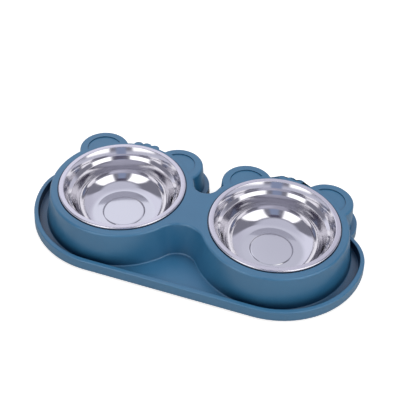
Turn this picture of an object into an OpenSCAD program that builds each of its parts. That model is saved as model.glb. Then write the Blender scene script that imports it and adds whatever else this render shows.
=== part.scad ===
// Double pet bowl: two drawn steel bowls that lift out of one moulded base with a spill tray.
// Millimetres. The origin is the centre of the footprint on the table, +X runs along the pair of
// bowls, +Y points to the ears at the back and +Z is up.

/* [Steel bowls] */
// Outer diameter of the rolled rim
rim_d = 130; // [115:1:160]
// Height of a bowl from its underside to the crest of the rim
bowl_depth = 40; // [36:0.5:55]
// Thickness of the steel sheet
sheet_t = 0.7; // [0.5:0.1:1]
// Width of the rim band between the outer edge and the inside of the wall
rim_band = 5.2; // [4.8:0.1:6.5]
// Height of the rolled rim from its crest to its hem
rim_roll = 3.5; // [3:0.1:4]
// Length of the hem that is turned in under the rim
hem_l = 0.9; // [0.5:0.1:1.2]
// Depth of the step in the wall, from the crest to its lower end
step_drop = 12.4; // [10:0.1:14]
// How far the step draws the wall in
step_in = 2.8; // [2:0.1:4]
// Height of the step's slope
step_h = 3; // [2:0.1:4]
// Flare of the wall above the step, in degrees
upper_flare = 24; // [18:0.1:30]
// Lean of the wall below the step, in degrees
lower_lean = 14; // [8:0.1:18]
// Inside radius where the wall turns into the floor
floor_corner = 21.5; // [12:0.1:23]
// Diameter of the raised disc pressed into the floor
disc_d = 41.8; // [30:0.1:50]
// Height of the raised disc
disc_h = 0.8; // [0.5:0.1:1.5]

/* [Base] */
// Gap between the rims of the two bowls
rim_gap = 31.2; // [27:0.1:40]
// Width of the deck from the rim to the virtual top edge of the wall
deck_margin = 8.3; // [7:0.1:10]
// Width of the deck behind a bowl, between its ears
back_margin = 3.6; // [3:0.1:5]
// Radius of the deck's rounded edge
edge_r = 2.6; // [1.5:0.1:3.5]
// Radius of the rounded edge behind a bowl
back_edge_r = 1; // [0.5:0.1:1.2]
// Draft of the walls round the bowls, in degrees
wall_draft = 9.5; // [6:0.5:11]
// Thickness of the moulded wall
shell = 2.2; // [1.6:0.1:2.8]
// Thickness of the deck
deck_t = 2.2; // [1.6:0.1:2.8]
// Distance from the line of the bowls to the centre of the front waist arc
waist_y = 59.2; // [54:0.1:66]
// Distance from the line of the bowls to the centre of the rear notch arc
notch_y = 31.4; // [30:0.1:36]

/* [Seats] */
// Clearance between the rim and its recess in the deck
seat_gap = 1; // [0.5:0.1:1.4]
// Depth of the recess that holds the rim
seat_depth = 1.5; // [1:0.1:2]
// Width of the ledge that carries the hem
ledge_w = 4.5; // [4:0.1:5]
// Depth of the collar that hangs round each opening
collar_h = 12; // [8:0.5:18]
// Thickness of the collar
collar_t = 2; // [1.5:0.1:2.5]

/* [Ears] */
// Radius of an ear at the virtual top edge
ear_r = 26.1; // [22:0.1:30]
// Direction of an ear from the bowl's centre, above the line of the bowls, in degrees
ear_angle = 49.9; // [45:0.5:55]
// How far an ear's centre lies inside the edge of the deck
ear_sink = 7.3; // [5:0.1:10]
// Draft of the ears' walls, in degrees
ear_draft = 4.8; // [3:0.1:7]
// Radius of the shallow recess in an ear
recess_r = 18; // [14:0.5:20]
// Depth of the shallow recess
recess_depth = 1.1; // [0.4:0.1:1.3]
// Width of deck left between the recess and the rim
recess_margin = 5; // [3.5:0.25:8]

/* [Tuft] */
// Number of bumps behind each bowl
tuft_count = 3; // [1:1:5]
// Radius of a bump
tuft_r = 5.2; // [4:0.1:6]
// Spacing of the bumps
tuft_pitch = 9.3; // [8:0.1:10]
// How far the bumps stand out behind the deck
tuft_out = 3.6; // [1.5:0.1:4.5]

/* [Tray] */
// Height of the base's lower edge above the table
foot_lift = 4; // [3:0.25:6]
// Height of the lip's crest above the base's lower edge
lip_h = 10.7; // [8.5:0.1:14]
// Width of the lip's top, to its virtual outer edge
lip_w = 4.4; // [4:0.1:6]
// Draft of the lip's outer wall, in degrees
lip_draft = 4; // [2:0.5:8]
// Radius of the lip's outer edge
lip_edge_r = 1.1; // [0.6:0.1:1.3]
// Radius of the lip's inner edge
lip_inner_r = 0.7; // [0.3:0.1:1]
// Thickness of the tray's floor
floor_t = 2.2; // [1.6:0.1:3]
// Radius where the floor meets the lip
floor_fillet = 1; // [0.5:0.1:1.5]
// Radius where the floor meets the walls of the raised deck
wall_fillet = 1.5; // [0.8:0.1:2]
// Width of the channel in front of the bowls
channel_w = 4.7; // [3:0.1:7]
// Extra width of the channel at the two ends
end_extra = 4.6; // [3:0.25:8]
// Radius of the tray's rear corners
corner_r = 44; // [38:0.5:50]
// Width of the ledge round the ears and behind the bowls
rear_ledge = 4.6; // [4:0.1:6]
// How far the tray runs on behind the rear notch
waist_back = 11.2; // [8:0.25:13]
// Wall on each side of the groove under the lip
groove_wall = 1.5; // [1.2:0.1:1.7]

/* [Ribs] */
// Thickness of a rib
rib_t = 1.6; // [1.2:0.1:2]

/* [Feet] */
// Diameter of a rubber foot
foot_d = 12; // [9:0.5:14]
// Depth of the socket that holds a foot
socket_depth = 0.8; // [0.5:0.1:1.2]
// Clearance round a foot in its socket
foot_gap = 0.25; // [0.15:0.05:0.5]
// Wall round a socket
socket_wall = 1.3; // [1:0.1:1.5]
// Radius of a foot's lower edge
foot_edge_r = 0.8; // [0.4:0.1:1.2]
// Diameter of the dimple in a foot's sole
dimple_d = 5; // [3:0.25:6]
// Depth of the dimple
dimple_depth = 0.4; // [0.2:0.1:0.6]
// Distance of a foot's centre from the edge of the tray
foot_inset = 11.5; // [11:0.25:14]
// Direction of a front foot from the centre of the tray's end, in degrees
front_foot_angle = 50; // [35:1:60]
// Direction of a rear foot from the centre of its ear, in degrees
rear_foot_angle = 45; // [20:1:60]

/* [Hidden] */
$fn = 96;

// One overrun serves all cuts, and one bite lets a waist arc cross the walls it blends
over = 0.5;
bite = 0.1;
// Steps in a fine arc, in a small one and at the foot of a wall
fine_steps = 8;
small_steps = 5;
foot_steps = 3;

// Sides, as signs of X
SIDES = [-1, 1];

// Heights above the table
base_z = foot_lift;
deck_z = base_z + bowl_depth - rim_roll + seat_depth;
seat_z = deck_z - seat_depth;
bowl_z = seat_z - (bowl_depth - rim_roll);
ceiling_z = deck_z - deck_t;
floor_z = base_z + floor_t;
crest_z = base_z + lip_h;

// Radii about a bowl's centre
rim_r = rim_d / 2;
seat_r = rim_r + seat_gap;
opening_r = seat_r - ledge_w;
body_r = rim_r + deck_margin;
back_r = rim_r + back_margin;
seat_ring_r = (seat_r + back_r) / 2;

// Places along the line of the bowls
pitch = rim_d + rim_gap;
bowl_x = pitch / 2;

// Arcs that join the two bodies at the waist
waist_r = norm([bowl_x, waist_y]) - body_r;
notch_r = norm([bowl_x, notch_y]) - body_r;

// Centre of an ear, from its bowl's centre
ear_reach = body_r - ear_sink;
ear_dx = ear_reach * cos(ear_angle);
ear_dy = ear_reach * sin(ear_angle);

// Growth of a drafted wall below its virtual top edge
function growth(draft, drop) = drop * tan(draft);
body_foot_r = body_r + growth(wall_draft, deck_z - floor_z);
back_foot_r = back_r + growth(wall_draft, deck_z - floor_z);
ear_foot_r = ear_r + growth(ear_draft, deck_z - floor_z);

// The tray's outline at the crest of its lip, which grows a little down to the lower edge
end_r = body_foot_r + channel_w + lip_w;
end_x = bowl_x + end_extra;
half_l = end_x + end_r;
corner_x = half_l - corner_r;
ear_rim_r = ear_foot_r + rear_ledge;
back_rim_r = back_foot_r + rear_ledge;
waist_back_y = notch_y + waist_back;
rear_reach = max(ear_dy + ear_rim_r, back_rim_r);

// The line of the bowls lies behind the footprint's centre by this much
line_y = (end_r - rear_reach) / 2;

// Feet
foot_r = foot_d / 2;
socket_r = foot_r + foot_gap;
pad_r = socket_r + socket_wall;
foot_h = foot_lift + socket_depth;
front_reach = end_r - foot_inset;
rear_foot_reach = ear_rim_r - foot_inset;
front_foot = [end_x + front_reach * cos(front_foot_angle), -front_reach * sin(front_foot_angle)];
rear_foot = [bowl_x + ear_dx + rear_foot_reach * cos(rear_foot_angle),
             ear_dy + rear_foot_reach * sin(rear_foot_angle)];

// Ribs leave each collar at these angles, and the last one meets the other bowl's rib
rib_angles = [-150, -120, -90, -60, -30, 0, ear_angle, 180 - ear_angle];

// Outlines made of straight runs and arcs

// Points of the arc that rounds corner b between a and c with radius r
function round_corner(a, b, c, r, steps) =
    let (u = (a - b) / norm(a - b), v = (c - b) / norm(c - b), half = acos(u * v) / 2,
         middle = (u + v) / norm(u + v), centre = b + middle * r / sin(half),
         start = b + u * r / tan(half) - centre,
         turn = sign(cross(b - a, c - b)) * (180 - 2 * half),
         from = atan2(start[1], start[0]))
    [for (i = [0:steps]) centre + r * [cos(from + turn * i / steps), sin(from + turn * i / steps)]];

// A path through the given corners, each [x, y, radius]
function rounded_path(corners, steps) =
    [for (i = [0:len(corners) - 1])
        let (b = [corners[i][0], corners[i][1]], r = corners[i][2])
        each (r == 0 ? [b] : round_corner([corners[i - 1][0], corners[i - 1][1]], b,
                                          [corners[i + 1][0], corners[i + 1][1]], r, steps))];

// The path moved sideways by d, mitred at its points
function shifted_path(path, d) =
    [for (i = [0:len(path) - 1])
        let (last = len(path) - 1,
             before = i == 0 ? path[1] - path[0] : path[i] - path[i - 1],
             after = i == last ? path[last] - path[last - 1] : path[i + 1] - path[i],
             n1 = [-before[1], before[0]] / norm(before),
             n2 = [-after[1], after[0]] / norm(after))
        path[i] + (n1 + n2) * d / (1 + n1 * n2)];

// A wall of even thickness that follows a path
function sheet_outline(path, thickness) =
    let (left = shifted_path(path, thickness / 2), right = shifted_path(path, -thickness / 2))
    concat(left, [for (i = [len(right) - 1:-1:0]) right[i]]);

// The rounded top edge of a drafted wall: offsets from the virtual radius, with their heights
function rounded_top(draft, edge, top_z) =
    let (centre = edge * tan(draft) - edge / cos(draft))
    [for (i = [0:small_steps])
        let (a = draft + (90 - draft) * i / small_steps)
        [centre + edge * cos(a), top_z - edge + edge * sin(a)]];

// The hollow at the foot of a drafted wall under the deck, from the floor up
function rounded_foot(draft) =
    let (centre = growth(draft, deck_z - floor_z - wall_fillet) + wall_fillet / cos(draft))
    [for (i = [0:foot_steps])
        let (a = 90 - (90 - draft) * i / foot_steps)
        [centre - wall_fillet * cos(a), floor_z + wall_fillet - wall_fillet * sin(a)]];

// A wall of the raised deck with both, from the base's lower edge up
function flank(draft, edge) =
    let (foot = rounded_foot(draft))
    concat([[foot[0][0], base_z]], foot, rounded_top(draft, edge, deck_z));

// A wall under the deck left plain between two heights
function plain_flank(draft, z0, z1) =
    [[growth(draft, deck_z - z0), z0], [growth(draft, deck_z - z1), z1]];

// Steel bowl

// Middle of the sheet, from the floor's centre out to the hem
half_t = sheet_t / 2;
floor_mid = half_t;
wall_mid_r = rim_r - rim_band + half_t;
roll_share = 0.94;
roll_r = (rim_roll / 2 - half_t) * roll_share;
top_mid = bowl_depth - half_t;
step_low = bowl_depth - step_drop;
step_high = step_low + step_h;
step_top_r = wall_mid_r - (bowl_depth - step_high) * tan(upper_flare);
step_low_r = step_top_r - step_in;
floor_r = step_low_r - (step_low - floor_mid) * tan(lower_lean);
disc_r = disc_d / 2;
disc_slope = 1.2;
disc_round = 1.2;
step_low_round = 0.9;
step_top_round = 1;
mouth_round = 1.1;

// The bend into the floor has room up to the disc and up to the step
corner_room = min(floor_r - disc_r - disc_slope - disc_round,
                  (step_low - floor_mid) / cos(lower_lean) - step_low_round);
corner_mid_r = min(floor_corner + half_t, corner_room / tan((90 - lower_lean) / 2));

module bowl_sheet() {
    path = rounded_path([
        [0, floor_mid + disc_h, 0],
        [disc_r, floor_mid + disc_h, disc_round],
        [disc_r + disc_slope, floor_mid, disc_round],
        [floor_r, floor_mid, corner_mid_r],
        [step_low_r, step_low, step_low_round],
        [step_top_r, step_high, step_top_round],
        [wall_mid_r, top_mid, mouth_round],
        [rim_r - half_t, top_mid, roll_r],
        [rim_r - half_t, bowl_depth - rim_roll + half_t, roll_r],
        [rim_r - rim_roll / 2 - hem_l, bowl_depth - rim_roll + half_t, 0]], fine_steps);
    rotate_extrude()
        polygon(sheet_outline(path, sheet_t));
}

module left_bowl() {
    color("lightsteelblue")
        translate([-bowl_x, line_y, bowl_z])
            bowl_sheet();
}

module right_bowl() {
    color("lightsteelblue")
        translate([bowl_x, line_y, bowl_z])
            bowl_sheet();
}

// Raised deck, as a solid form that can be drawn in by an inset

// A round body whose side follows a wall's offsets
module drafted_disc(r, side) {
    rotate_extrude()
        polygon(concat([[0, side[0][1]]],
                       [for (p = side) [r + p[0], p[1]]],
                       [[0, side[len(side) - 1][1]]]));
}

// The cutter that leaves a hollow arc between the two bodies
module trumpet(r, side) {
    top = side[len(side) - 1];
    foot = side[0];
    rotate_extrude()
        polygon(concat([[0, foot[1] - over], [r + bite - foot[0], foot[1] - over]],
                       [for (p = side) [r + bite - p[0], p[1]]],
                       [[r + bite - top[0], top[1] + over], [0, top[1] + over]]));
}

// The whole raised form, given the sides of its walls
module raised_form(inset, wall_side, back_side, ear_side) {
    bottom = wall_side[0][1];
    height = wall_side[len(wall_side) - 1][1] - bottom;
    reach = body_foot_r + wall_fillet + over;
    for (s = SIDES)
        translate([s * bowl_x, 0, 0]) {
            intersection() {
                drafted_disc(body_r - inset, wall_side);
                translate([-reach, -reach, bottom - over])
                    cube([2 * reach, reach + ear_dy, height + 2 * over]);
            }
            drafted_disc(back_r - inset, back_side);
            for (e = SIDES)
                translate([e * ear_dx, ear_dy, 0])
                    drafted_disc(ear_r - inset, ear_side);
        }
    difference() {
        translate([0, 0, bottom])
            linear_extrude(height)
                polygon([[-bowl_x, 0], [0, -waist_y], [bowl_x, 0], [0, notch_y]]);
        translate([0, -waist_y, 0])
            trumpet(waist_r + inset, wall_side);
        translate([0, notch_y, 0])
            trumpet(notch_r + inset, wall_side);
    }
}

// Outside of the raised deck, with its rounded edges
module deck_form() {
    raised_form(0, flank(wall_draft, edge_r), flank(wall_draft, back_edge_r), flank(ear_draft, edge_r));
}

// Inside of the raised deck, up to a given height
module plain_form(inset, z0, z1) {
    raised_form(inset, plain_flank(wall_draft, z0, z1), plain_flank(wall_draft, z0, z1),
                plain_flank(ear_draft, z0, z1));
}

// Bumps behind a bowl, upright, so that they run out into the drafted wall lower down
module tuft() {
    centre_r = back_r + tuft_out - tuft_r;
    step = 2 * asin(tuft_pitch / (2 * centre_r));
    for (i = [0:tuft_count - 1])
        rotate([0, 0, 90 + (i - (tuft_count - 1) / 2) * step])
            translate([centre_r, 0, floor_z])
                cylinder(r = tuft_r, h = deck_z - floor_z);
}

// Tray

// The tray's outline is made of quarter discs, discs and straight runs that share one edge
// profile, given as [offset from the outline, height] from the bottom to the top.

// A quarter or whole disc with that edge
module edged_disc(r, side, sweep, from) {
    rotate([0, 0, from])
        rotate_extrude(angle = sweep)
            polygon(concat([[0, side[0][1]]],
                           [for (p = side) [r + p[0], p[1]]],
                           [[0, side[len(side) - 1][1]]]));
}

// A straight run with that edge at distance r along -Y, between x0 and x1
module edged_run(x0, x1, r, side) {
    translate([x0, 0, 0])
        rotate([90, 0, 90])
            linear_extrude(x1 - x0)
                polygon(concat([[0, side[0][1]]],
                               [for (p = side) [-r - p[0], p[1]]],
                               [[0, side[len(side) - 1][1]]]));
}

// Front and ends of the tray
module tray_front(side) {
    for (s = SIDES)
        mirror([s < 0 ? 1 : 0, 0, 0]) {
            translate([end_x, 0, 0])
                edged_disc(end_r, side, 90, -90);
            translate([corner_x, 0, 0])
                edged_disc(corner_r, side, 90, 0);
        }
    edged_run(-end_x, end_x, end_r, side);
}

// Rear edge between the inner ears
module tray_waist(side) {
    rotate([0, 0, 180])
        edged_run(-bowl_x + ear_dx, bowl_x - ear_dx, waist_back_y, side);
}

// Rear edge behind the bowls and round the ears
module tray_rear(side) {
    for (s = SIDES)
        translate([s * bowl_x, 0, 0]) {
            edged_disc(back_rim_r, side, 360, 0);
            for (e = SIDES)
                translate([e * ear_dx, ear_dy, 0])
                    edged_disc(ear_rim_r, side, 360, 0);
        }
}

// Outer side of the lip: drafted wall and rounded edge
lip_side = concat([[growth(lip_draft, lip_h), base_z]], rounded_top(lip_draft, lip_edge_r, crest_z));

// Side of the channel inside the lip: filleted floor, wall and rounded inner edge
channel_side = concat(
    [for (i = [0:small_steps])
        let (a = 90 * i / small_steps)
        [-lip_w - floor_fillet + floor_fillet * sin(a), floor_z + floor_fillet - floor_fillet * cos(a)]],
    [for (i = [0:small_steps])
        let (a = 90 * i / small_steps)
        [-lip_w + lip_inner_r - lip_inner_r * cos(a), crest_z - lip_inner_r + lip_inner_r * sin(a)]],
    [[lip_inner_r - lip_w, crest_z + over]]);

module tray_form(side) {
    tray_front(side);
    tray_waist(side);
    tray_rear(side);
}

module tray() {
    difference() {
        tray_form(lip_side);
        tray_front(channel_side);
        tray_waist(channel_side);
    }
}

// Groove moulded under the lip
module lip_groove() {
    top = crest_z - groove_wall;
    bottom = base_z - over;
    outer = [[growth(lip_draft, crest_z - bottom) - groove_wall, bottom],
             [growth(lip_draft, groove_wall) - groove_wall, top]];
    inner = [[groove_wall - lip_w, bottom - over], [groove_wall - lip_w, top + over]];
    difference() {
        tray_form(outer);
        tray_form(inner);
    }
}

// Inner structure

module collar() {
    translate([0, 0, deck_z - collar_h])
        cylinder(r = opening_r + collar_t, h = collar_h - deck_t / 2);
    translate([0, 0, seat_z - deck_t])
        cylinder(r = seat_ring_r, h = seat_depth + deck_t / 2);
}

// Ribs between the collars and the walls, trimmed to the middle of the wall
module ribs() {
    from = opening_r + collar_t / 2;
    rib_h = collar_h - deck_t / 2;
    intersection() {
        for (s = SIDES)
            mirror([s < 0 ? 1 : 0, 0, 0])
                translate([bowl_x, 0, deck_z - collar_h]) {
                    for (a = rib_angles)
                        rotate([0, 0, a])
                            translate([from, -rib_t / 2, 0])
                                cube([ear_reach + ear_foot_r - from, rib_t, rib_h]);
                    rotate([0, 0, 180])
                        translate([from, -rib_t / 2, 0])
                            cube([bowl_x - from, rib_t, rib_h]);
                }
        plain_form(shell / 2, deck_z - collar_h - over, deck_z - deck_t / 2);
    }
}

// Places of the feet: [side, place on the right-hand side]
module at_feet() {
    for (s = SIDES)
        mirror([s < 0 ? 1 : 0, 0, 0]) {
            translate([front_foot[0], front_foot[1], base_z])
                children();
            translate([rear_foot[0], rear_foot[1], base_z])
                children();
        }
}

// Seat for one rim and the opening below it
module opening_cut() {
    translate([0, 0, base_z - over])
        cylinder(r = opening_r, h = deck_z - base_z + 2 * over);
    translate([0, 0, seat_z])
        cylinder(r = seat_r, h = seat_depth + over);
}

// Shallow recess in an ear, kept clear of the rim
module ear_recess(e) {
    difference() {
        translate([e * ear_dx, ear_dy, deck_z - recess_depth])
            cylinder(r = recess_r, h = recess_depth + over);
        translate([0, 0, deck_z - recess_depth - over])
            cylinder(r = rim_r + recess_margin, h = recess_depth + 3 * over);
    }
}

module base() {
    color("steelblue")
        translate([0, line_y, 0])
            difference() {
                union() {
                    difference() {
                        union() {
                            tray();
                            deck_form();
                            for (s = SIDES)
                                translate([s * bowl_x, 0, 0])
                                    tuft();
                        }
                        plain_form(shell, base_z - over, ceiling_z);
                        lip_groove();
                    }
                    for (s = SIDES)
                        translate([s * bowl_x, 0, 0])
                            collar();
                    ribs();
                    at_feet()
                        cylinder(r = pad_r, h = floor_t);
                }
                for (s = SIDES)
                    translate([s * bowl_x, 0, 0]) {
                        opening_cut();
                        for (e = SIDES)
                            ear_recess(e);
                    }
                translate([0, 0, -over])
                    at_feet()
                        cylinder(r = socket_r, h = socket_depth + over);
            }
}

// Feet

module foot(side, place) {
    color("dimgray")
        translate([side * place[0], line_y + place[1], 0])
            rotate_extrude()
                polygon(concat(
                    [[0, dimple_depth], [dimple_d / 2 - dimple_depth, dimple_depth], [dimple_d / 2, 0]],
                    [for (i = [0:small_steps])
                        let (a = 90 * i / small_steps)
                        [foot_r - foot_edge_r + foot_edge_r * sin(a), foot_edge_r - foot_edge_r * cos(a)]],
                    [[foot_r, foot_h], [0, foot_h]]));
}

module foot_front_left() {
    foot(-1, front_foot);
}

module foot_front_right() {
    foot(1, front_foot);
}

module foot_rear_left() {
    foot(-1, rear_foot);
}

module foot_rear_right() {
    foot(1, rear_foot);
}

base();
left_bowl();
right_bowl();
foot_front_left();
foot_front_right();
foot_rear_left();
foot_rear_right();
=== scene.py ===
"""Looks of a double pet bowl: two drawn steel bowls in a moulded plastic base with ears and a spill tray."""

import logging
import math
from dataclasses import dataclass
from enum import Enum

import bmesh
import bpy
from mathutils import Euler, Matrix, Vector

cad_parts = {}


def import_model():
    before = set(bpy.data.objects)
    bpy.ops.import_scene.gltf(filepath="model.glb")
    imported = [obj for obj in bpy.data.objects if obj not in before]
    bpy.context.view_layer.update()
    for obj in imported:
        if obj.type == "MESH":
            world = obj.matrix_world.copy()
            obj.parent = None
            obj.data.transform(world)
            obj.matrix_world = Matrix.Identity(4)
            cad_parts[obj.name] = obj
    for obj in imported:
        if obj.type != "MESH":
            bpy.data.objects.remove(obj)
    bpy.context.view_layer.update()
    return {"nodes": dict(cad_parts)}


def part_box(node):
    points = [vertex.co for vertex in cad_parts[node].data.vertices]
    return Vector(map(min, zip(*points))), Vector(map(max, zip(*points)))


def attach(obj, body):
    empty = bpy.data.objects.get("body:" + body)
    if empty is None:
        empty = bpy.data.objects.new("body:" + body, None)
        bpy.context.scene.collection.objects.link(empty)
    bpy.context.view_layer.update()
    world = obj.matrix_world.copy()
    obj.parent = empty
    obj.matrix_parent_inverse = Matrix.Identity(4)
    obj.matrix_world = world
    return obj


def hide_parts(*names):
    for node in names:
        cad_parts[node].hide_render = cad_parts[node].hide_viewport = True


log = logging.getLogger("double_pet_bowl")

Colour = tuple[float, float, float, float]
Place = tuple[float, float, float]
Span = tuple[float, float]
Socket = bpy.types.NodeSocket

MM = 0.001
WHITE: Colour = (1.0, 1.0, 1.0, 1.0)
BLACK: Colour = (0.0, 0.0, 0.0, 1.0)

# a noise's middle range, which a mask stretches to 0 and 1
NOISE_SPAN: Span = (0.3, 0.7)
# sockets of a Mix node for colours, which share their names with those of its other kinds
MIX_FACTOR, MIX_FIRST, MIX_SECOND, MIX_RESULT = 0, 6, 7, 2


class Side(Enum):
    """The two bowls of the pair, by the CAD node and body that each one is."""

    LEFT = "left_bowl"
    RIGHT = "right_bowl"


class Zone(Enum):
    """The zones of a bowl's sheet that are finished in different ways, by material slot."""

    WALL = 0
    RIM = 1
    FLOOR = 2
    OUTSIDE = 3


@dataclass
class Graph:
    """A node tree with short ways to add nodes and to join them.

    Args:
        tree: The node tree of a material, a world or a group.
    """

    tree: bpy.types.NodeTree

    def add(self, kind: str, **settings: object) -> bpy.types.Node:
        """Adds a node and sets its own settings.

        Args:
            kind: The node's type, such as ShaderNodeMath.
            settings: Attributes of the node, by name.

        Returns:
            The new node.
        """
        node = self.tree.nodes.new(kind)
        for name, value in settings.items():
            setattr(node, name, value)
        return node

    def plug(self, socket: Socket, value: object) -> None:
        """Gives an input its value or link.

        Args:
            socket: The input.
            value: Its value, or the output socket that it is linked to.
        """
        if isinstance(value, Socket):
            self.tree.links.new(value, socket)
        else:
            socket.default_value = value

    def feed(self, node: bpy.types.Node, **inputs: object) -> bpy.types.Node:
        """Gives a node's inputs their values or links.

        Args:
            node: The node that takes them.
            inputs: A value or an output socket for each input, with _ for a space in its name.

        Returns:
            The same node.
        """
        for name, value in inputs.items():
            self.plug(node.inputs[name.replace("_", " ")], value)
        return node

    def in_order(self, node: bpy.types.Node, values: tuple) -> bpy.types.Node:
        """Gives a node's inputs their values or links in the order that they stand in.

        Args:
            node: The node that takes them.
            values: A value or an output socket for each input.

        Returns:
            The same node.
        """
        for socket, value in zip(node.inputs, values):
            self.plug(socket, value)
        return node

    def math(self, operation: str, *values: object) -> Socket:
        """Adds a sum of numbers.

        Args:
            operation: What the Math node does.
            values: A number or an output socket for each of its inputs.

        Returns:
            The sum's output.
        """
        return self.in_order(self.add("ShaderNodeMath", operation=operation), values).outputs[0]

    def vector(self, operation: str, *values: object, out: str = "Vector") -> Socket:
        """Adds a sum of vectors.

        Args:
            operation: What the Vector Math node does.
            values: A vector or an output socket for each of its inputs.
            out: The name of the output that is wanted.

        Returns:
            That output.
        """
        return self.in_order(self.add("ShaderNodeVectorMath", operation=operation), values).outputs[out]

    def joined(self, x: object, y: object, z: object) -> Socket:
        """Returns a vector made of three numbers or output sockets."""
        return self.feed(self.add("ShaderNodeCombineXYZ"), X=x, Y=y, Z=z).outputs["Vector"]

    def parts(self, vector: Socket) -> bpy.types.NodeOutputs:
        """Returns the outputs X, Y and Z that hold a vector's parts."""
        return self.feed(self.add("ShaderNodeSeparateXYZ"), Vector=vector).outputs

    def object_place(self) -> Socket:
        """Returns the place on the surface in its object's own coordinates, in metres."""
        return self.add("ShaderNodeTexCoord").outputs["Object"]

    def noise(self, place: Socket, scale: object, detail: float, roughness: float) -> Socket:
        """Adds a noise.

        Args:
            place: Where it is read.
            scale: Its scale or the output socket that holds it.
            detail: How many finer layers it has.
            roughness: How strong the finer layers are.

        Returns:
            The noise's value.
        """
        node = self.add("ShaderNodeTexNoise")
        return self.feed(node, Vector=place, Scale=scale, Detail=detail, Roughness=roughness).outputs["Fac"]

    def bump(self, height: Socket, strength: float, distance: float) -> Socket:
        """Adds a relief.

        Args:
            height: The relief's height, from 0 to 1.
            strength: How strongly it shows, from 0 to 1.
            distance: How high it stands, in metres.

        Returns:
            The normal.
        """
        node = self.add("ShaderNodeBump")
        return self.feed(node, Height=height, Strength=strength, Distance=distance).outputs["Normal"]

    def ramp(self, value: Socket, low: float, high: float, to_low: float = 0.0,
             to_high: float = 1.0) -> Socket:
        """Maps a value smoothly from one range to another.

        Args:
            value: The output socket that holds it.
            low: Where the first range starts.
            high: Where it ends.
            to_low: What the start becomes.
            to_high: What the end becomes.

        Returns:
            The mapped value.
        """
        node = self.add("ShaderNodeMapRange", interpolation_type="SMOOTHSTEP")
        self.feed(node, Value=value, From_Min=low, From_Max=high, To_Min=to_low, To_Max=to_high)
        return node.outputs["Result"]

    def blend(self, factor: Socket, first: object, second: object) -> Socket:
        """Mixes two colours.

        Args:
            factor: How much of the second shows, from 0 to 1.
            first: The first colour or its output socket.
            second: The second colour or its output socket.

        Returns:
            The mixed colour.
        """
        node = self.add("ShaderNodeMix", data_type="RGBA")
        for index, value in ((MIX_FACTOR, factor), (MIX_FIRST, first), (MIX_SECOND, second)):
            self.plug(node.inputs[index], value)
        return node.outputs[MIX_RESULT]

    def rays(self, *kinds: str) -> Socket:
        """Adds a mask of the rays of some kinds.

        Args:
            kinds: The names that a Light Path node gives them.

        Returns:
            A value that is 1 for those rays and 0 for all others.
        """
        path = self.add("ShaderNodeLightPath").outputs
        mask = path[kinds[0]]
        for kind in kinds[1:]:
            mask = self.math("MAXIMUM", mask, path[kind])
        return mask

    def group(self, tree: bpy.types.NodeTree, **inputs: object) -> bpy.types.NodeOutputs:
        """Places a node group.

        Args:
            tree: The group.
            inputs: What the group's inputs get.

        Returns:
            The group's outputs.
        """
        return self.feed(self.add("ShaderNodeGroup", node_tree=tree), **inputs).outputs


def new_group(name: str, inputs: dict[str, tuple[str, object]],
              outputs: dict[str, str]) -> tuple[Graph, bpy.types.NodeOutputs, bpy.types.Node]:
    """Starts a shader node group with named sockets.

    Args:
        name: The group's name.
        inputs: For each input, the end of its socket's type and its default value, or None.
        outputs: For each output, the end of its socket's type.

    Returns:
        A Graph on the group's tree, what the group is given, and the node that takes its results.
    """
    tree = bpy.data.node_groups.new(name, "ShaderNodeTree")
    for label, (kind, value) in inputs.items():
        socket = tree.interface.new_socket(label, in_out="INPUT", socket_type="NodeSocket" + kind)
        if value is not None:
            socket.default_value = value
    for label, kind in outputs.items():
        tree.interface.new_socket(label, in_out="OUTPUT", socket_type="NodeSocket" + kind)
    graph = Graph(tree)
    return graph, graph.add("NodeGroupInput").outputs, graph.add("NodeGroupOutput")


def grain_group() -> bpy.types.NodeTree:
    """Builds the group for a moulded surface's fine grain and its broad mottling.

    Returns:
        A group that turns a place into a grain height and a mottle mask, both from 0 to 1.
    """
    graph, given, out = new_group(
        "grain",
        {"Place": ("Vector", None), "Grain Scale": ("Float", 1500.0), "Mottle Scale": ("Float", 30.0)},
        {"Height": "Float", "Mottle": "Float"})
    fine = graph.noise(given["Place"], given["Grain Scale"], detail=3.0, roughness=0.6)
    broad = graph.noise(given["Place"], given["Mottle Scale"], detail=3.0, roughness=0.55)
    graph.feed(out, Height=fine, Mottle=graph.ramp(broad, *NOISE_SPAN))
    return graph.tree


def spun_group() -> bpy.types.NodeTree:
    """Builds the group for the fine rings and the broader streaks that polishing leaves on a spun bowl.

    Returns:
        A group that turns a place about the bowl's axis into a ring height and a smear mask, from 0 to 1.
    """
    graph, given, out = new_group(
        "spun_rings",
        {"Place": ("Vector", None), "Rings": ("Float", 5000.0), "Streaks": ("Float", 40.0)},
        {"Height": "Float", "Smear": "Float"})
    place = graph.parts(given["Place"])
    flat = graph.joined(place["X"], place["Y"], 0.0)
    turn = graph.parts(graph.vector("NORMALIZE", flat))
    # a step along the sheet changes its radius, its height or both, so their difference spaces the rings
    along = graph.math("SUBTRACT", graph.vector("LENGTH", flat, out="Value"), place["Z"])

    def ringed(count: str) -> Socket:
        """Returns where to read a noise that runs round the bowl, with that input's rings in a metre."""
        return graph.joined(turn["X"], turn["Y"], graph.math("MULTIPLY", along, given[count]))

    rings = graph.noise(ringed("Rings"), 1.0, detail=2.0, roughness=0.7)
    smear = graph.noise(ringed("Streaks"), 1.6, detail=3.0, roughness=0.55)
    graph.feed(out, Height=rings, Smear=graph.ramp(smear, *NOISE_SPAN))
    return graph.tree


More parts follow.
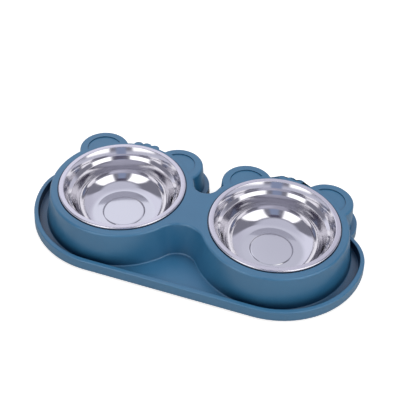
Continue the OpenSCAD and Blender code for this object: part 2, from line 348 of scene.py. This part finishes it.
def card_group() -> bpy.types.NodeTree:
    """Builds the group for the panels that hang in the light tent.

    Returns:
        A group that says how much of a panel shows in a direction, from 0 to 1.
    """
    graph, given, out = new_group(
        "card",
        {"Azimuth": ("Float", 0.0), "Elevation": ("Float", 0.0), "At": ("Float", 0.0), "Up": ("Float", 0.0),
         "Width": ("Float", 10.0), "Height": ("Float", 10.0), "Soft": ("Float", 5.0)},
        {"Mask": "Float"})
    turned = graph.math("WRAP", graph.math("SUBTRACT", given["Azimuth"], given["At"]), 180.0, -180.0)
    risen = graph.math("SUBTRACT", given["Elevation"], given["Up"])

    def covered(away: Socket, size: str) -> Socket:
        """Tells how far a direction lies within two of the panel's edges.

        Args:
            away: How far it is from the panel's middle, in degrees.
            size: The input that holds the distance between the two edges.

        Returns:
            A value from 0 outside the edges to 1 inside them.
        """
        half = graph.math("MULTIPLY", given[size], 0.5)
        inside = graph.math("SUBTRACT", half, graph.math("ABSOLUTE", away))
        return graph.ramp(graph.math("DIVIDE", inside, given["Soft"]), -0.5, 0.5)

    graph.feed(out, Mask=graph.math("MULTIPLY", covered(turned, "Width"), covered(risen, "Height")))
    return graph.tree


def new_material(name: str) -> tuple[bpy.types.Material, Graph, bpy.types.Node]:
    """Starts a material with its shader.

    Args:
        name: The material's name.

    Returns:
        The material, a Graph on its tree and its Principled BSDF.
    """
    material = bpy.data.materials.new(name)
    material.use_nodes = True
    return material, Graph(material.node_tree), material.node_tree.nodes["Principled BSDF"]


def new_object(name: str, bm: bmesh.types.BMesh) -> bpy.types.Object:
    """Turns a bmesh into an object of the scene, and frees it.

    Args:
        name: The name of the object and of its mesh.
        bm: The bmesh.

    Returns:
        The object.
    """
    mesh = bpy.data.meshes.new(name)
    bm.to_mesh(mesh)
    bm.free()
    made = bpy.data.objects.new(name, mesh)
    bpy.context.scene.collection.objects.link(made)
    return made


@dataclass(frozen=True)
class Skin:
    """The fine texture and the broad mottling of a moulded surface.

    Args:
        grain_size: Size of the texture's grains, in metres.
        grain_height: Their height, in metres.
        relief: How strongly they show, from 0 to 1.
        mottles: Mottled patches in a metre.
    """

    grain_size: float
    grain_height: float
    relief: float
    mottles: float

    def lay(self, graph: Graph, grain: bpy.types.NodeTree) -> tuple[Socket, Socket]:
        """Lays the skin over a material.

        Args:
            graph: The material's graph.
            grain: The grain group.

        Returns:
            The mottle mask and the normal.
        """
        skin = graph.group(grain, Place=graph.object_place(), Grain_Scale=1.0 / self.grain_size,
                           Mottle_Scale=self.mottles)
        return skin["Mottle"], graph.bump(skin["Height"], self.relief, self.grain_height)


@dataclass(frozen=True)
class MouldedPlastic:
    """The satin finish of the moulded base, with painted shade darkening its colour in creases, channels and
    recesses.

    Args:
        colour: The plastic's colour, linear.
        pale: The same colour where the pigment lies thinner.
        shade: The colour of the painted shade, deep in a crease.
        crease: How far the painted shade of a crease reaches, in metres.
        crease_samples: Directions in which its surroundings are felt for.
        openness: Share of free surroundings at which the painted shade is full, and at which it ends.
        gloss: Roughness of the smoothest and of the roughest places.
        skin: Its fine texture and mottling.
        refraction: Its index of refraction.
        shine: Strength of its highlights, where 0.5 is plain.
    """

    colour: Colour = (0.022, 0.136, 0.27, 1.0)
    pale: Colour = (0.027, 0.148, 0.285, 1.0)
    # painted shade: the colour that creases, channels and recesses are darkened towards
    shade: Colour = (0.0, 0.018, 0.055, 1.0)
    crease: float = 0.022
    crease_samples: int = 8
    openness: Span = (0.22, 0.78)
    gloss: Span = (0.32, 0.4)
    skin: Skin = Skin(grain_size=0.0006, grain_height=0.00001, relief=0.6, mottles=26.0)
    refraction: float = 1.49
    shine: float = 1.0

    def material(self, name: str, grain: bpy.types.NodeTree) -> bpy.types.Material:
        """Makes the material.

        Args:
            name: The material's name.
            grain: The grain group.

        Returns:
            The material.
        """
        material, graph, shader = new_material(name)
        mottle, normal = self.skin.lay(graph, grain)
        # painted shade: an ambient occlusion node darkens the colour in creases, channels and recesses,
        # where shade falls
        crease = graph.feed(graph.add("ShaderNodeAmbientOcclusion", samples=self.crease_samples),
                            Distance=self.crease)
        free_of_painted_shade = graph.ramp(crease.outputs["AO"], *self.openness)
        graph.feed(shader,
                   Base_Color=graph.blend(free_of_painted_shade, self.shade, graph.blend(mottle, self.colour, self.pale)),
                   Roughness=graph.ramp(mottle, 0.0, 1.0, *self.gloss),
                   Normal=normal, IOR=self.refraction, Specular_IOR_Level=self.shine)
        return material


@dataclass(frozen=True)
class SoftRubber:
    """The dull black rubber of the feet.

    Args:
        colour: The rubber's colour, linear.
        dusty: Its colour where dust clings to it.
        gloss: Roughness where it is clean and where it is dusty.
        skin: Its fine texture and mottling.
        refraction: Its index of refraction.
    """

    colour: Colour = (0.012, 0.012, 0.014, 1.0)
    dusty: Colour = (0.035, 0.034, 0.034, 1.0)
    gloss: Span = (0.6, 0.85)
    skin: Skin = Skin(grain_size=0.0004, grain_height=0.00003, relief=0.7, mottles=300.0)
    refraction: float = 1.5

    def material(self, name: str, grain: bpy.types.NodeTree) -> bpy.types.Material:
        """Makes the material.

        Args:
            name: The material's name.
            grain: The grain group.

        Returns:
            The material.
        """
        material, graph, shader = new_material(name)
        mottle, normal = self.skin.lay(graph, grain)
        graph.feed(shader,
                   Base_Color=graph.blend(mottle, self.colour, self.dusty),
                   Roughness=graph.ramp(mottle, 0.0, 1.0, *self.gloss),
                   Normal=normal, IOR=self.refraction)
        return material


@dataclass(frozen=True)
class SpunSteel:
    """The finish of one zone of a drawn steel bowl.

    Args:
        colour: The steel's colour, linear.
        gloss: Roughness of the brightest and of the dullest streaks.
        ring_height: Height of the polishing rings, in metres.
        rings: Rings in a metre of the sheet.
        drawn: How far the highlight is drawn out across the rings, from 0 to 1.
        relief: How strongly the rings show, from 0 to 1.
        streaks: How close the streaks lie, as about their number in a metre of the sheet.
    """

    colour: Colour
    gloss: Span
    ring_height: float
    rings: float
    drawn: float
    relief: float = 0.5
    streaks: float = 60.0

    def material(self, name: str, spun: bpy.types.NodeTree, centre: Vector) -> bpy.types.Material:
        """Makes the material for one bowl.

        Args:
            name: The material's name.
            spun: The group of polishing rings.
            centre: A point on the bowl's axis.

        Returns:
            The material.
        """
        material, graph, shader = new_material(name)
        shift = graph.feed(graph.add("ShaderNodeMapping"), Vector=graph.object_place(),
                           Location=(-centre.x, -centre.y, 0.0))
        polish = graph.group(spun, Place=shift.outputs["Vector"], Rings=self.rings, Streaks=self.streaks)
        graph.feed(shader, Base_Color=self.colour, Metallic=1.0, Anisotropic=self.drawn,
                   Roughness=graph.ramp(polish["Smear"], 0.0, 1.0, *self.gloss),
                   Normal=graph.bump(polish["Height"], self.relief, self.ring_height))
        return material


BOWL_FINISHES: dict[Zone, SpunSteel] = {
    Zone.WALL: SpunSteel(colour=(0.66, 0.65, 0.68, 1.0), gloss=(0.08, 0.12), ring_height=0.000002,
                         rings=4000.0, drawn=0.2),
    Zone.RIM: SpunSteel(colour=(0.68, 0.66, 0.7, 1.0), gloss=(0.2, 0.28), ring_height=0.000008,
                        rings=4000.0, drawn=0.4),
    Zone.FLOOR: SpunSteel(colour=(0.67, 0.67, 0.69, 1.0), gloss=(0.06, 0.1), ring_height=0.000002,
                          rings=3000.0, drawn=0.2),
    Zone.OUTSIDE: SpunSteel(colour=(0.6, 0.59, 0.61, 1.0), gloss=(0.22, 0.32), ring_height=0.00001,
                            rings=3000.0, drawn=0.4),
}


@dataclass(frozen=True)
class Corner:
    """A corner of the line down the middle of a bowl's sheet, in millimetres.

    Args:
        r: Its distance from the axis.
        z: Its height above the underside.
        bend: Radius of the arc that rounds it, or 0 for an end of the line.
        wide: Whether its arc is the wide one, which has more chords.
        bow: How far the stretch that leads to it bows inwards.
    """

    r: float
    z: float
    bend: float = 0.0
    wide: bool = False
    bow: float = 0.0

    def point(self) -> Vector:
        """Returns the corner's point."""
        return Vector((self.r, self.z))

    def rounded(self, before: Vector, after: Vector, steps: int) -> list[Vector]:
        """Works out the arc that rounds the corner.

        Args:
            before: The point before the corner.
            after: The point after it.
            steps: Number of chords in the arc.

        Returns:
            The points of the arc.
        """
        corner = self.point()
        to_before = (before - corner).normalized()
        to_after = (after - corner).normalized()
        half = to_before.angle(to_after) / 2
        centre = corner + (to_before + to_after).normalized() * (self.bend / math.sin(half))
        start = corner + to_before * (self.bend / math.tan(half)) - centre
        way = corner - before
        turn = math.copysign(math.pi - 2 * half, way.x * (after - corner).y - way.y * (after - corner).x)
        return [centre + Matrix.Rotation(turn * i / steps, 2) @ start for i in range(steps + 1)]


@dataclass
class SteelBowl:
    """One drawn steel bowl with a rolled rim, in millimetres.

    Args:
        side: Which bowl of the pair it is.
        rim_r: Outer radius of the rolled rim.
        depth: Height from the underside to the crest.
        sheet: Thickness of the steel.
        rim_band: Width of the rim's band.
        rim_roll: Height of the rolled rim.
        hem: Length of the hem under the rim.
        roll_share: Share of the roll's height that its two bends fill.
        step_drop: Depth of the step's lower end.
        step_in: How far the step draws the wall in.
        step_h: Height of the step's slope.
        upper_flare: Flare of the wall above the step, in degrees.
        lower_lean: Lean of the wall below it, in degrees.
        floor_corner: Radius between wall and floor.
        disc_r: Radius of the raised disc in the floor.
        disc_h: Its height.
        disc_slope: Width of the slope round it.
        disc_round: Radius of that slope's bends.
        step_low_round: Radius of the step's lower bend.
        step_top_round: Radius of its upper bend.
        mouth_round: Radius between the wall and the rim band.
        wall_bow: How far the wall above the step bows inwards.
        turns: Segments in a full turn.
        arc_steps: Chords in each small bend.
        corner_steps: Chords in the bend between wall and floor.
        weld: Points closer than this, in metres, become one.
        sharp_angle: Edges sharper than this, in degrees, stay sharp in the shading.
        facing_up: A face belongs to the inside if its normal rises by more than this.
        rim_lap: How far inside the mouth the rim's finish starts.
        rim_drop: How far below the roll the rim's finish reaches.
        floor_rise: How far above the disc the floor's finish reaches.
    """

    side: Side
    rim_r: float = 65.0
    depth: float = 40.0
    sheet: float = 0.7
    rim_band: float = 5.2
    rim_roll: float = 3.5
    hem: float = 0.9
    roll_share: float = 0.94
    step_drop: float = 12.4
    step_in: float = 2.8
    step_h: float = 3.0
    upper_flare: float = 24.0
    lower_lean: float = 14.0
    floor_corner: float = 21.5
    disc_r: float = 20.9
    disc_h: float = 0.8
    disc_slope: float = 1.2
    disc_round: float = 2.2
    step_low_round: float = 0.9
    step_top_round: float = 1.0
    mouth_round: float = 1.1
    wall_bow: float = 0.22
    turns: int = 320
    arc_steps: int = 10
    corner_steps: int = 40
    weld: float = 0.000001
    sharp_angle: float = 50.0
    facing_up: float = 0.02
    rim_lap: float = 0.2
    rim_drop: float = 0.5
    floor_rise: float = 0.9

    def centre(self) -> Vector:
        """Returns the point under the middle of the bowl, on its underside, in metres."""
        low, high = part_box(self.side.value)
        return Vector(((low.x + high.x) / 2, (low.y + high.y) / 2, low.z))

    def corners(self) -> list[Corner]:
        """Places the corners of the sheet's middle.

        Returns:
            The corners, from the floor's middle out to the hem.
        """
        half = self.sheet / 2
        wall = self.rim_r - self.rim_band + half
        top = self.depth - half
        low = self.depth - self.step_drop
        high = low + self.step_h
        step_top = wall - (self.depth - high) * math.tan(math.radians(self.upper_flare))
        step_low = step_top - self.step_in
        floor = step_low - (low - half) * math.tan(math.radians(self.lower_lean))
        roll = (self.rim_roll / 2 - half) * self.roll_share
        under = self.depth - self.rim_roll + half
        return [Corner(0.0, half + self.disc_h),
                Corner(self.disc_r, half + self.disc_h, self.disc_round),
                Corner(self.disc_r + self.disc_slope, half, self.disc_round),
                Corner(floor, half, self.floor_corner + half, wide=True),
                Corner(step_low, low, self.step_low_round),
                Corner(step_top, high, self.step_top_round),
                Corner(wall, top, self.mouth_round, bow=self.wall_bow),
                Corner(self.rim_r - half, top, roll),
                Corner(self.rim_r - half, under, roll),
                Corner(self.rim_r - self.rim_roll / 2 - self.hem, under)]

    def middle(self) -> list[Vector]:
        """Draws the line of the sheet's middle, with its bends rounded.

        Returns:
            The line's points.
        """
        corners = self.corners()
        line = [corners[0].point()]
        for before, corner, after in zip(corners, corners[1:], corners[2:]):
            steps = self.corner_steps if corner.wide else self.arc_steps
            bent = corner.rounded(before.point(), after.point(), steps)
            if corner.bow:
                line += self.bowed(line[-1], bent[0], corner.bow)
            line += bent
        return line + [corners[-1].point()]

    def bowed(self, low: Vector, high: Vector, bow: float) -> list[Vector]:
        """Works out a slightly bowed stretch of the wall.

        Args:
            low: Where it starts.
            high: Where it ends.
            bow: How far its middle lies inwards.

        Returns:
            The points between the two.
        """
        way = high - low
        inward = Vector((-way.y, way.x)).normalized()
        shares = [i / self.arc_steps for i in range(1, self.arc_steps)]
        return [low + way * t + inward * (bow * 4 * t * (1 - t)) for t in shares]

    def shifted(self, line: list[Vector], by: float) -> list[Vector]:
        """Moves a line sideways, with its stretches kept parallel.

        Args:
            line: The line's points.
            by: How far it moves to its left.

        Returns:
            The moved points.
        """
        ways = [after - before for before, after in zip(line, line[1:])]
        lefts = [Vector((-way.y, way.x)).normalized() for way in ways]
        met = zip(line, lefts[:1] + lefts, lefts + lefts[-1:])
        return [point + (one + other) * by / (1 + one.dot(other)) for point, one, other in met]

    def build(self) -> bpy.types.Object:
        """Spins the sheet's outline into the bowl.

        Returns:
            The bowl, riding on its body in place of its CAD node.
        """
        line = self.middle()
        outline = self.shifted(line, self.sheet / 2) + self.shifted(line, -self.sheet / 2)[::-1]
        bm = bmesh.new()
        points = [bm.verts.new((p.x * MM, 0.0, p.y * MM)) for p in outline]
        edges = [bm.edges.new(pair) for pair in zip(points, points[1:])]
        bmesh.ops.spin(bm, geom=points + edges, cent=(0.0, 0.0, 0.0), axis=(0.0, 0.0, 1.0),
                       angle=2 * math.pi, steps=self.turns, use_merge=True)
        bmesh.ops.remove_doubles(bm, verts=bm.verts, dist=self.weld)
        bmesh.ops.recalc_face_normals(bm, faces=bm.faces)
        for face in bm.faces:
            face.smooth = True
            face.material_index = self.zone(face).value
        bmesh.ops.translate(bm, verts=bm.verts, vec=self.centre())
        bowl = new_object(self.side.value + "_steel", bm)
        bowl.data.set_sharp_from_angle(angle=math.radians(self.sharp_angle))
        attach(bowl, self.side.value)
        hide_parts(self.side.value)
        return bowl

    def zone(self, face: bmesh.types.BMFace) -> Zone:
        """Tells the zone of a face by where it lies, before the bowl is put in place.

        Args:
            face: The face, round the bowl's own axis.

        Returns:
            The zone.
        """
        place = face.calc_center_median()
        r = math.hypot(place.x, place.y) / MM
        z = place.z / MM
        if r > self.rim_r - self.rim_band - self.rim_lap and z > self.depth - self.rim_roll - self.rim_drop:
            return Zone.RIM
        faces_axis = face.normal.x * place.x + face.normal.y * place.y < 0.0
        if not faces_axis and face.normal.z <= self.facing_up:
            return Zone.OUTSIDE
        in_floor = z < self.sheet + self.disc_h + self.floor_rise and r < self.rim_r / 2
        return Zone.FLOOR if in_floor else Zone.WALL

    def dress(self, bowl: bpy.types.Object, spun: bpy.types.NodeTree) -> None:
        """Gives each zone its finish.

        Args:
            bowl: The bowl's object.
            spun: The group of polishing rings.
        """
        for zone in Zone:
            name = f"{self.side.value}_{zone.name.lower()}"
            bowl.data.materials.append(BOWL_FINISHES[zone].material(name, spun, self.centre()))


@dataclass
class MouldedBase:
    """The one moulded base, whose CAD solid is shown with its own shape.

    Args:
        node: The CAD node that it is.
        weld: Points closer than this, in metres, become one.
        flat_angle: Triangles that differ by less than this, in degrees, become one flat face.
        seam_angle: Edges sharper than this, in degrees, stay sharp in the shading.
        area_weight: How far large faces outweigh small ones in the shading, where 50 is even.
    """

    node: str = "base"
    weld: float = 0.000002
    flat_angle: float = 0.3
    seam_angle: float = 30.0
    area_weight: int = 100

    def build(self, nodes: dict[str, bpy.types.Object], finish: bpy.types.Material) -> None:
        """Makes the base's own piece, riding on its body, from a merged copy of its CAD mesh.

        Args:
            nodes: The CAD nodes by name.
            finish: The plastic's material.
        """
        bm = bmesh.new()
        bm.from_mesh(nodes[self.node].data)
        bmesh.ops.remove_doubles(bm, verts=bm.verts, dist=self.weld)
        bmesh.ops.dissolve_limit(bm, verts=bm.verts, edges=bm.edges, use_dissolve_boundaries=False,
                                 angle_limit=math.radians(self.flat_angle), delimit={"NORMAL"})
        for face in bm.faces:
            face.smooth = True
            face.material_index = 0
        base = new_object("base_moulding", bm)
        base.data.materials.append(finish)
        base.data.set_sharp_from_angle(angle=math.radians(self.seam_angle))
        weighted = base.modifiers.new("weighted_normals", "WEIGHTED_NORMAL")
        weighted.keep_sharp = True
        weighted.weight = self.area_weight
        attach(base, "base")
        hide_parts(self.node)


@dataclass
class RubberFeet:
    """The four rubber feet, whose CAD solids are shown.

    Args:
        names: The CAD nodes that they are.
    """

    names: tuple[str, ...] = ("foot_front_left", "foot_front_right", "foot_rear_left", "foot_rear_right")

    def dress(self, nodes: dict[str, bpy.types.Object], finish: bpy.types.Material) -> None:
        """Gives the feet their finish.

        Args:
            nodes: The CAD nodes by name.
            finish: The rubber's material.
        """
        for name in self.names:
            mesh = nodes[name].data
            mesh.materials.clear()
            mesh.materials.append(finish)


@dataclass(frozen=True)
class Card:
    """A panel of the light tent that the steel mirrors.

    Args:
        azimuth: Direction of its middle, in degrees from +X towards +Y.
        elevation: Height of its middle above the horizon, in degrees.
        width: Width in degrees.
        height: Height in degrees.
        colour: What it shows.
        soft: Width of its soft edge, in degrees.
    """

    azimuth: float
    elevation: float
    width: float
    height: float
    colour: Colour
    soft: float


@dataclass(frozen=True)
class Lamp:
    """A square soft lamp.

    Args:
        name: The lamp's name.
        place: Where it hangs, in metres.
        aim: The point that it faces.
        size: Its width, in metres.
        watts: Its power.
    """

    name: str
    place: Place
    aim: Place
    size: float
    watts: float

    def hang(self) -> None:
        """Hangs the lamp, which shows in nothing that mirrors."""
        data = bpy.data.lights.new(self.name, "AREA")
        data.shape = "SQUARE"
        data.size = self.size
        data.energy = self.watts
        lamp = bpy.data.objects.new(self.name, data)
        lamp.location = self.place
        lamp.rotation_euler = (Vector(self.aim) - Vector(self.place)).to_track_quat("-Z", "Y").to_euler()
        lamp.visible_glossy = False
        bpy.context.scene.collection.objects.link(lamp)


@dataclass
class Studio:
    """The light tent, the floor and the lamps.

    Args:
        tent: What the tent shows where no card hangs.
        tent_r: Radius of the tent, in metres.
        tent_rings: Rings of faces in the tent.
        middle: Where its middle stands, in metres.
        daylight: Level of the even light.
        floor_size: Width of the floor, in metres.
        floor_colour: The floor's colour, linear.
        floor_glow: What the floor adds where it is seen directly, so that it is white there.
        cards: The cards in the tent, the later ones in front.
        lamps: The lamps.
    """

    tent: Colour = (0.7, 0.71, 0.84, 1.0)
    tent_r: float = 0.9
    tent_rings: int = 48
    middle: Place = (0.0, 0.0, 0.03)
    daylight: float = 0.34
    floor_size: float = 12.0
    floor_colour: Colour = (0.7, 0.7, 0.7, 1.0)
    floor_glow: float = 0.7
    cards: tuple[Card, ...] = (
        # the pale wall behind the object, less bright to the right
        Card(108.0, 22.0, 130.0, 76.0, (0.97, 0.98, 1.13, 1.0), 24.0),
        Card(64.0, 25.0, 84.0, 66.0, (0.7, 0.7, 0.83, 1.0), 30.0),
        # the dark room in front of it
        Card(-72.0, 39.5, 236.0, 53.0, (0.26, 0.26, 0.32, 1.0), 12.0),
        # the soft boxes to both sides
        Card(-114.5, 37.0, 42.0, 48.0, (1.8, 1.8, 1.83, 1.0), 7.0),
        Card(-23.0, 37.0, 49.0, 48.0, (1.8, 1.8, 1.83, 1.0), 7.0),
        # a dim upright panel between them, with a darker one above it
        Card(-70.5, 19.0, 20.0, 56.0, (0.31, 0.37, 0.54, 1.0), 5.0),
        Card(-70.5, 54.5, 34.0, 14.0, (0.12, 0.11, 0.17, 1.0), 4.0),
    )
    lamps: tuple[Lamp, ...] = (
        Lamp("top_lamp", (0.0, 0.1, 1.2), (0.0, 0.0, 0.0), 1.0, 4.3),
        Lamp("left_box", (-0.39, -0.83, 0.75), (0.0, 0.0, 0.03), 0.6, 3.5),
        Lamp("right_box", (0.86, -0.32, 0.75), (0.0, 0.0, 0.03), 0.6, 4.0),
    )

    def world(self) -> None:
        """Makes the world: a white view and even light."""
        world = bpy.data.worlds.new("daylight")
        world.use_nodes = True
        bpy.context.scene.world = world
        graph = Graph(world.node_tree)
        white = graph.rays("Is Camera Ray", "Is Glossy Ray", "Is Transmission Ray")
        even = (self.daylight, self.daylight, self.daylight, 1.0)
        graph.feed(world.node_tree.nodes["Background"], Strength=1.0, Color=graph.blend(white, even, WHITE))

    def shown(self, graph: Graph) -> Socket:
        """Adds what the tent shows at each of its places.

        Args:
            graph: The graph of the tent's material.

        Returns:
            The colour.
        """
        outward = graph.vector("SUBTRACT", graph.object_place(), self.middle)
        way = graph.parts(graph.vector("NORMALIZE", outward))
        azimuth = graph.math("DEGREES", graph.math("ARCTAN2", way["Y"], way["X"]))
        elevation = graph.math("DEGREES", graph.math("ARCSINE", way["Z"]))
        mask = card_group()
        colour = self.tent
        for card in self.cards:
            hung = graph.group(mask, Azimuth=azimuth, Elevation=elevation, At=card.azimuth,
                               Up=card.elevation, Width=card.width, Height=card.height, Soft=card.soft)
            colour = graph.blend(hung["Mask"], colour, card.colour)
        return colour

    def pitch(self) -> None:
        """Pitches the round tent, which only what mirrors it can see."""
        bm = bmesh.new()
        bmesh.ops.create_uvsphere(bm, u_segments=2 * self.tent_rings, v_segments=self.tent_rings,
                                  radius=self.tent_r)
        bmesh.ops.translate(bm, verts=bm.verts, vec=self.middle)
        tent = new_object("tent", bm)
        material, graph, shader = new_material("tent_cloth")
        graph.feed(shader, Base_Color=BLACK, Specular_IOR_Level=0.0, Roughness=1.0,
                   Emission_Color=self.shown(graph), Emission_Strength=1.0)
        tent.data.materials.append(material)
        tent.visible_camera = False
        tent.visible_diffuse = False
        tent.visible_transmission = False
        tent.visible_shadow = False

    def floor(self) -> None:
        """Lays the pale floor, which keeps the shadow."""
        bm = bmesh.new()
        bmesh.ops.create_grid(bm, x_segments=1, y_segments=1, size=self.floor_size / 2)
        floor = new_object("floor", bm)
        material, graph, shader = new_material("white_sweep")
        graph.feed(shader, Base_Color=self.floor_colour, Roughness=1.0, Specular_IOR_Level=0.0)
        glow = graph.feed(graph.add("ShaderNodeEmission"), Color=WHITE, Strength=self.floor_glow)
        both = graph.in_order(graph.add("ShaderNodeAddShader"), (shader.outputs[0], glow.outputs[0]))
        # glossy rays see no glow, because mirrored in the satin plastic it makes the base's walls too pale
        seen = graph.rays("Is Camera Ray", "Is Transmission Ray")
        mixed = graph.in_order(graph.add("ShaderNodeMixShader"), (seen, shader.outputs[0], both.outputs[0]))
        graph.feed(graph.tree.nodes["Material Output"], Surface=mixed.outputs[0])
        floor.data.materials.append(material)

    def build(self) -> None:
        """Sets up the studio."""
        self.world()
        self.pitch()
        self.floor()
        for lamp in self.lamps:
            lamp.hang()


@dataclass(frozen=True)
class PhotoCamera:
    """The photograph's camera, placed from the line of the bowls' centres.

    Args:
        place: Where it stands, in millimetres from the middle of that line on the table.
        azimuth: Direction that it looks in, in degrees from +Y towards -X.
        elevation: Its height above the horizon as seen from the object, in degrees.
        roll: Its turn about its own axis, in degrees.
        lens: Focal length, in millimetres.
        sensor: Width of the sensor, in millimetres.
        nearest: Nearest distance that it sees, in metres.
        farthest: Farthest distance that it sees, in metres.
    """

    place: Place = (173.3, -537.9, 570.6)
    azimuth: float = 17.54
    elevation: float = 42.82
    roll: float = 1.93
    lens: float = 69.48
    sensor: float = 36.0
    nearest: float = 0.05
    farthest: float = 50.0

    def build(self, line_y: float) -> None:
        """Makes the scene's camera.

        Args:
            line_y: Where the line of the bowls' centres lies, in metres.
        """
        data = bpy.data.cameras.new("camera")
        data.sensor_width = self.sensor
        data.lens = self.lens
        data.clip_start = self.nearest
        data.clip_end = self.farthest
        camera = bpy.data.objects.new("camera", data)
        aim = (math.radians(90.0 - self.elevation), 0.0, math.radians(self.azimuth))
        turn = Euler(aim, "XYZ").to_matrix()
        roll = Matrix.Rotation(math.radians(self.roll), 3, "Z")
        camera.matrix_world = (turn @ roll).to_4x4()
        camera.location = Vector(self.place) * MM + Vector((0.0, line_y, 0.0))
        bpy.context.scene.collection.objects.link(camera)
        bpy.context.scene.camera = camera


def main() -> None:
    """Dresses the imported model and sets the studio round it."""
    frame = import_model()
    nodes = frame["nodes"]
    bpy.context.scene.view_settings.view_transform = "Standard"
    bowls = [SteelBowl(side) for side in Side]
    PhotoCamera().build(bowls[0].centre().y)
    grain = grain_group()
    spun = spun_group()
    MouldedBase().build(nodes, MouldedPlastic().material("moulded_plastic", grain))
    log.info("base moulded")
    feet = RubberFeet()
    feet.dress(nodes, SoftRubber().material("soft_rubber", grain))
    for name in feet.names:
        log.info("%s dressed", name)
    for bowl in bowls:
        bowl.dress(bowl.build(), spun)
        log.info("%s spun and polished", bowl.side.value)
    Studio().build()
    log.info("studio set up")


if __name__ == "__main__":
    logging.basicConfig(level=logging.INFO)
    main()
